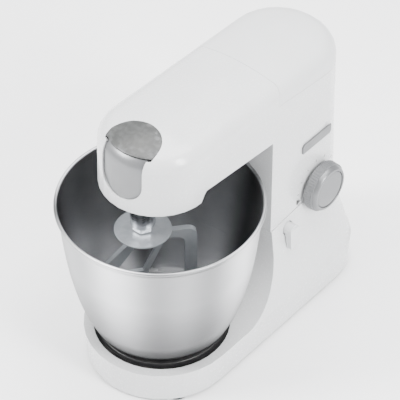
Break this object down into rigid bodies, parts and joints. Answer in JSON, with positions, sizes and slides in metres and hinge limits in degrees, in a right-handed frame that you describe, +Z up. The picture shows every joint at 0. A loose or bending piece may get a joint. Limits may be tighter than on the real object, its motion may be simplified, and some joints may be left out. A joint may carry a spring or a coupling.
{
  "type": "stand mixer",
  "caption": "White tilt-head stand mixer with a brushed steel bowl, planetary K-beater, side speed dial, head release lever and two power outlets.",
  "frame": {"origin": "middle of the footprint, on the table", "axes": "+Z up, -Y towards the bowl end, +X towards the speed dial's side"},
  "size_m": [0.24, 0.407, 0.3575],
  "materials": {
    "white_body": "gloss",
    "white_plastic": "gloss",
    "grey_plastic": "satin",
    "black_plastic": "satin",
    "silver_plastic": "satin",
    "bowl_steel": "brushed",
    "steel": "satin",
    "cast_aluminium": "satin",
    "rubber": "matt",
    "brass": "satin",
    "copper": "satin"
  },
  "bodies": {
    "base": {"pedestal_shell": "white_body", "base_plate": "grey_plastic", "foot_1": "rubber", "foot_2": "rubber", "foot_3": "rubber", "foot_4": "rubber", "base_screw_1": "steel", "base_screw_2": "steel", "base_screw_3": "steel", "base_screw_4": "steel", "bowl_seat": "black_plastic", "cord_gland": "black_plastic", "hinge_pin": "steel", "lever_bezel": "grey_plastic"},
    "mixing_bowl": {"bowl": "bowl_steel", "bowl_foot_ring": "black_plastic"},
    "head": {"upper_tower_casing": "white_body", "head_casing": "white_body", "outlet_housing": "black_plastic", "slow_speed_socket": "steel", "gearbox_plate": "cast_aluminium", "ring_gear": "cast_aluminium", "latch_striker": "steel", "badge_plate": "silver_plastic", "dial_pointer": "grey_plastic", "drive_belt": "rubber", "motor_stator": "steel", "motor_bracket_lower": "cast_aluminium", "motor_bracket_upper": "cast_aluminium", "motor_bearing_lower": "steel", "motor_bearing_upper": "steel", "brush_holder_left": "brass", "brush_holder_right": "brass"},
    "carrier": {"planet_carrier": "cast_aluminium", "main_gear": "steel", "vertical_bevel_gear": "steel"},
    "spindle": {"tool_spindle": "steel", "planet_pinion": "steel", "height_nut": "steel", "splash_shield": "cast_aluminium", "k_beater": "cast_aluminium"},
    "pulley": {"pinion_shaft": "steel", "large_pulley": "cast_aluminium"},
    "rotor": {"motor_shaft": "steel", "rotor_core": "copper", "commutator": "copper", "cooling_fan": "black_plastic", "motor_pulley": "steel", "high_speed_drive": "black_plastic"},
    "outlet_drive": {"outlet_bevel_gear": "steel", "outlet_drive_shaft": "steel"},
    "dial": {"dial_knob": "silver_plastic", "dial_cap": "silver_plastic", "dial_shaft": "steel"},
    "latch": {"release_lever": "white_plastic", "latch_shaft": "steel", "latch_hook": "steel"},
    "flap": {"outlet_flap": "silver_plastic"},
    "catch": {"outlet_catch": "grey_plastic"},
    "rear_cover": {"high_speed_outlet_cover": "white_plastic"}
  },
  "joints": [
    {"name": "head_tilt", "type": "hinge", "parent": "base", "child": "head", "pos_m": [0, 0.1785, 0.15211], "axis": [-1, 0, 0], "range_deg": [0, 45]},
    {"name": "planet_carrier_turn", "type": "hinge", "parent": "head", "child": "carrier", "pos_m": [0, -0.0835, 0.277], "axis": [0, 0, 1], "continuous": true},
    {"name": "beater_spin", "type": "hinge", "parent": "carrier", "child": "spindle", "pos_m": [0, -0.1135, 0.277], "axis": [0, 0, 1], "continuous": true},
    {"name": "pulley_turn", "type": "hinge", "parent": "head", "child": "pulley", "pos_m": [0, -0.0385, 0.3], "axis": [0, 0, 1], "continuous": true},
    {"name": "motor_turn", "type": "hinge", "parent": "head", "child": "rotor", "pos_m": [0, 0.1165, 0.25], "axis": [0, 0, 1], "continuous": true},
    {"name": "outlet_drive_turn", "type": "hinge", "parent": "head", "child": "outlet_drive", "pos_m": [0, -0.1135, 0.3135], "axis": [0, -1, 0], "continuous": true},
    {"name": "speed_dial_turn", "type": "hinge", "parent": "head", "child": "dial", "pos_m": [0.07, 0.1235, 0.157], "axis": [1, 0, 0], "range_deg": [-30, 200]},
    {"name": "release_lever_swing", "type": "hinge", "parent": "base", "child": "latch", "pos_m": [0.04, 0.0665, 0.126], "axis": [-1, 0, 0], "range_deg": [0, 35], "stiffness_Nm_per_rad": 0.05},
    {"name": "outlet_flap_swing", "type": "hinge", "parent": "head", "child": "flap", "pos_m": [0, -0.1435, 0.338], "axis": [-1, 0, 0], "range_deg": [0, 95]},
    {"name": "outlet_catch_press", "type": "slide", "parent": "head", "child": "catch", "axis": [0, 0, -1], "range_m": [0, 0.0015], "stiffness_N_per_m": 400},
    {"name": "rear_cover_lift", "type": "slide", "parent": "head", "child": "rear_cover", "axis": [0, 0.64, 0.7684], "range_m": [0, 0.06]},
    {"name": "bowl_turn", "type": "hinge", "parent": "base", "child": "mixing_bowl", "pos_m": [0, -0.0835, 0.044], "axis": [0, 0, 1], "range_deg": [0, 60]}
  ],
  "couplings": [
    {"joint": "beater_spin", "follows": "planet_carrier_turn", "ratio": -3},
    {"joint": "pulley_turn", "follows": "planet_carrier_turn", "ratio": -4},
    {"joint": "motor_turn", "follows": "planet_carrier_turn", "ratio": -10.909},
    {"joint": "outlet_drive_turn", "follows": "planet_carrier_turn", "ratio": 1}
  ]
}
